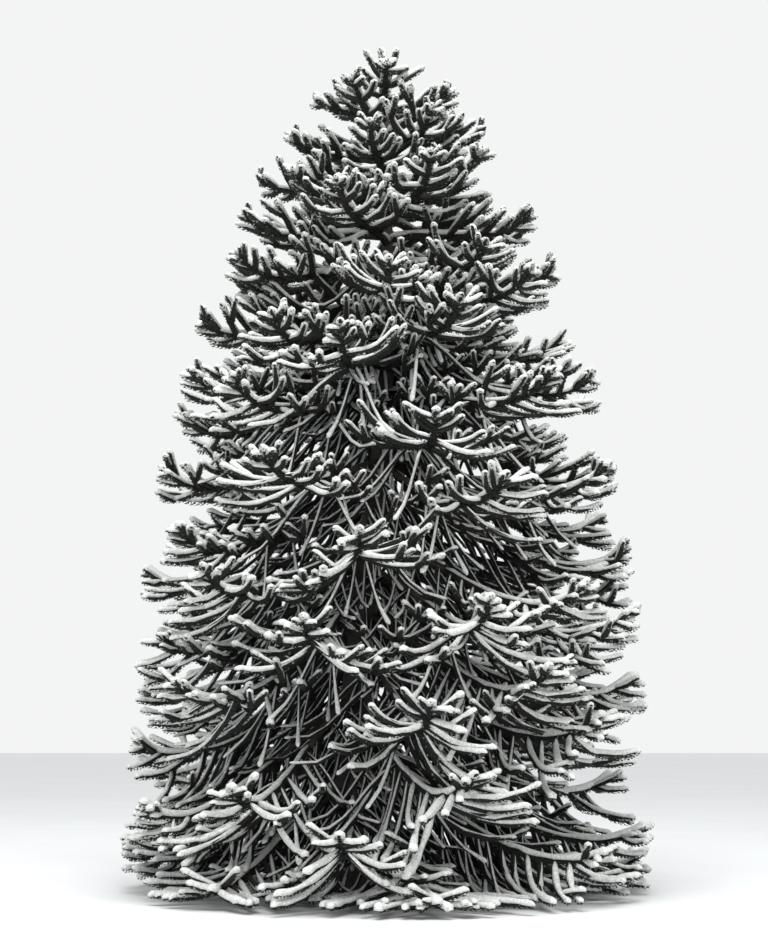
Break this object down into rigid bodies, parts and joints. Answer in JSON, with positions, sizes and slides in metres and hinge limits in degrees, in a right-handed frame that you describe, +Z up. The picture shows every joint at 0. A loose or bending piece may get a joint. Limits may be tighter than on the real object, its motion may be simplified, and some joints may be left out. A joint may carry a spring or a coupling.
{
  "type": "monkey puzzle tree",
  "caption": "Young monkey puzzle tree clothed with drooping, upturned boughs of scale-leaved shoots from its tip to the ground, snow on every shoot.",
  "frame": {"origin": "middle of the flat cut under the trunk, at ground level", "axes": "+Z up the trunk, -Y towards the front of the tree, +X to the right seen from the front, which is the way the trunk leans"},
  "size_m": [5.5833, 5.6545, 9.54],
  "materials": {
    "bark": "rough purplish grey-brown bark, ringed and scarred by old scale leaves",
    "bough_wood": "rough dark bark with old leaf scales, snow on its upper side",
    "foliage": "stiff pointed dark green scale leaves round each shoot, snow on their upper side"
  },
  "bodies": {
    "root": {"bough_20": "bough_wood", "bough_21": "bough_wood", "bough_22": "bough_wood", "bough_23": "bough_wood", "bough_24": "bough_wood", "bough_25": "bough_wood", "bough_26": "bough_wood", "bough_27": "bough_wood", "bough_28": "bough_wood", "bough_29": "bough_wood", "bough_30": "bough_wood", "bough_31": "bough_wood", "bough_32": "bough_wood", "bough_33": "bough_wood", "bough_34": "bough_wood", "bough_35": "bough_wood", "bough_36": "bough_wood", "bough_37": "bough_wood", "bough_38": "bough_wood", "leader_tuft": "foliage", "spray_1": "foliage", "spray_10": "foliage", "spray_11": "foliage", "spray_12": "foliage", "spray_13": "foliage", "spray_14": "foliage", "spray_15": "foliage", "spray_16": "foliage", "spray_17": "foliage", "spray_18": "foliage", "spray_19": "foliage", "spray_2": "foliage", "spray_20": "foliage", "spray_21": "foliage", "spray_22": "foliage", "spray_23": "foliage", "spray_24": "foliage", "spray_25": "foliage", "spray_26": "foliage", "spray_27": "foliage", "spray_28": "foliage", "spray_29": "foliage", "spray_3": "foliage", "spray_30": "foliage", "spray_31": "foliage", "spray_32": "foliage", "spray_33": "foliage", "spray_34": "foliage", "spray_35": "foliage", "spray_36": "foliage", "spray_37": "foliage", "spray_38": "foliage", "spray_4": "foliage", "spray_5": "foliage", "spray_6": "foliage", "spray_7": "foliage", "spray_8": "foliage", "spray_9": "foliage", "trunk": "bark"}
  },
  "joints": []
}
